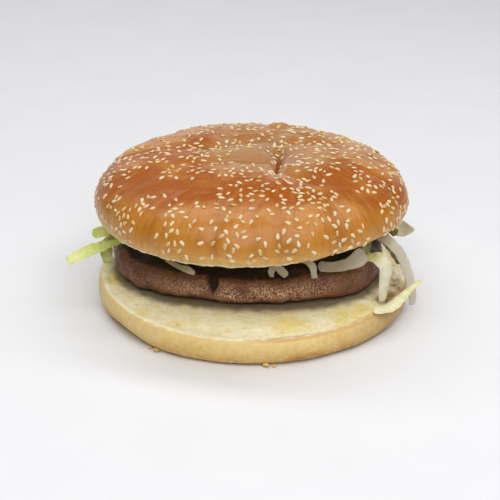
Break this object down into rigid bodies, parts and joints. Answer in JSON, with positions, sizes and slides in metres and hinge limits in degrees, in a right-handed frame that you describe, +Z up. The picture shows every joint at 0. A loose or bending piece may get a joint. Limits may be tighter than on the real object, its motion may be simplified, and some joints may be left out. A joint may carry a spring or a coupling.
{
  "type": "hamburger",
  "caption": "Round sesame-topped hamburger with a beef patty, sliced onion and shredded lettuce between the halves of a soft bun, resting flat on its base.",
  "frame": {"origin": "middle of the heel's flat underside, where the burger rests", "axes": "+Z up through the bun, -Y towards the side the picture shows, +X to that side's right"},
  "size_m": [0.1394, 0.128, 0.0621],
  "materials": {
    "golden_crust": "baked bread crust with a soft egg-wash gloss",
    "bun_crumb": "matt open bread crumb with a pale crust side",
    "grilled_beef": "coarse grilled minced beef, moist",
    "mixed_salad": "moist shredded salad",
    "lettuce": "moist, slightly translucent leaf",
    "onion": "moist, translucent raw onion"
  },
  "bodies": {
    "root": {"bun_heel": "bun_crumb", "patty": "grilled_beef", "salad_bed": "mixed_salad", "lettuce_left_long": "lettuce", "lettuce_left_curl": "lettuce", "lettuce_left_low": "lettuce", "lettuce_olive_right": "lettuce", "lettuce_drape": "lettuce", "lettuce_brown_right": "lettuce", "lettuce_dark_right": "lettuce", "lettuce_rim_right": "lettuce", "onion_front_left": "onion", "onion_front_curl": "onion", "onion_front_hook": "onion", "onion_front_strip": "onion", "onion_ring_right": "onion", "onion_back_right": "onion", "bun_crown": "golden_crust"}
  },
  "joints": []
}
